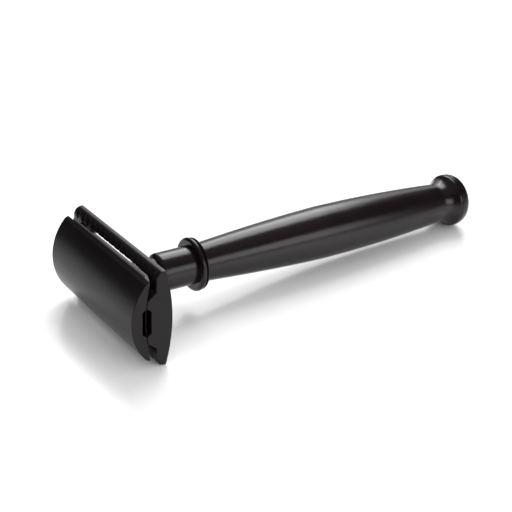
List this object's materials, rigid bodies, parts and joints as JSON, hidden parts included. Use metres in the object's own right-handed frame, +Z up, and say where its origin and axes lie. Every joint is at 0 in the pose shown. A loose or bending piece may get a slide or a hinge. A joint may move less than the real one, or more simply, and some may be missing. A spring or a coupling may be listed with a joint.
{
  "type": "safety razor",
  "caption": "Three-piece double-edge safety razor: curved cap, exposed blade edge, scalloped guard bars and a bellied handle that unscrews.",
  "frame": {"origin": "on the surface that the razor lies on, below the middle of its bounding box", "axes": "+Z up from that surface, +X along the razor from the head to the knob, +Y along the blade's edges"},
  "size_m": [0.1188, 0.0438, 0.025],
  "materials": {
    "black_metal": "satin",
    "blade_steel": "ground edge",
    "stud_steel": "turned",
    "insert_brass": "turned"
  },
  "bodies": {
    "handle": {"neck_tube": "black_metal", "thread_insert": "insert_brass", "collar_ring": "black_metal", "grip_body": "black_metal", "core_rod": "stud_steel", "end_cap": "black_metal"},
    "plate": {"base_plate": "black_metal"},
    "blade": {"razor_blade": "blade_steel"},
    "cap": {"top_cap": "black_metal", "cap_stud": "stud_steel", "blade_posts": "stud_steel"}
  },
  "joints": [
    {"name": "head_unscrew", "type": "hinge", "parent": "handle", "child": "plate", "pos_m": [-0.04154, 0, 0.01208], "axis": [-0.9989, 0, 0.0468], "range_deg": [0, 2880]},
    {"name": "blade_lift", "type": "slide", "parent": "plate", "child": "blade", "axis": [-0.9989, 0, 0.0468], "range_m": [0, 0.00322]},
    {"name": "cap_lift", "type": "slide", "parent": "plate", "child": "cap", "axis": [-0.9989, 0, 0.0468], "range_m": [0, 0.00644]}
  ],
  "couplings": [
    {"joint": "blade_lift", "follows": "head_unscrew", "m_per_rad": 0.000063662},
    {"joint": "cap_lift", "follows": "head_unscrew", "m_per_rad": 0.00012732}
  ]
}
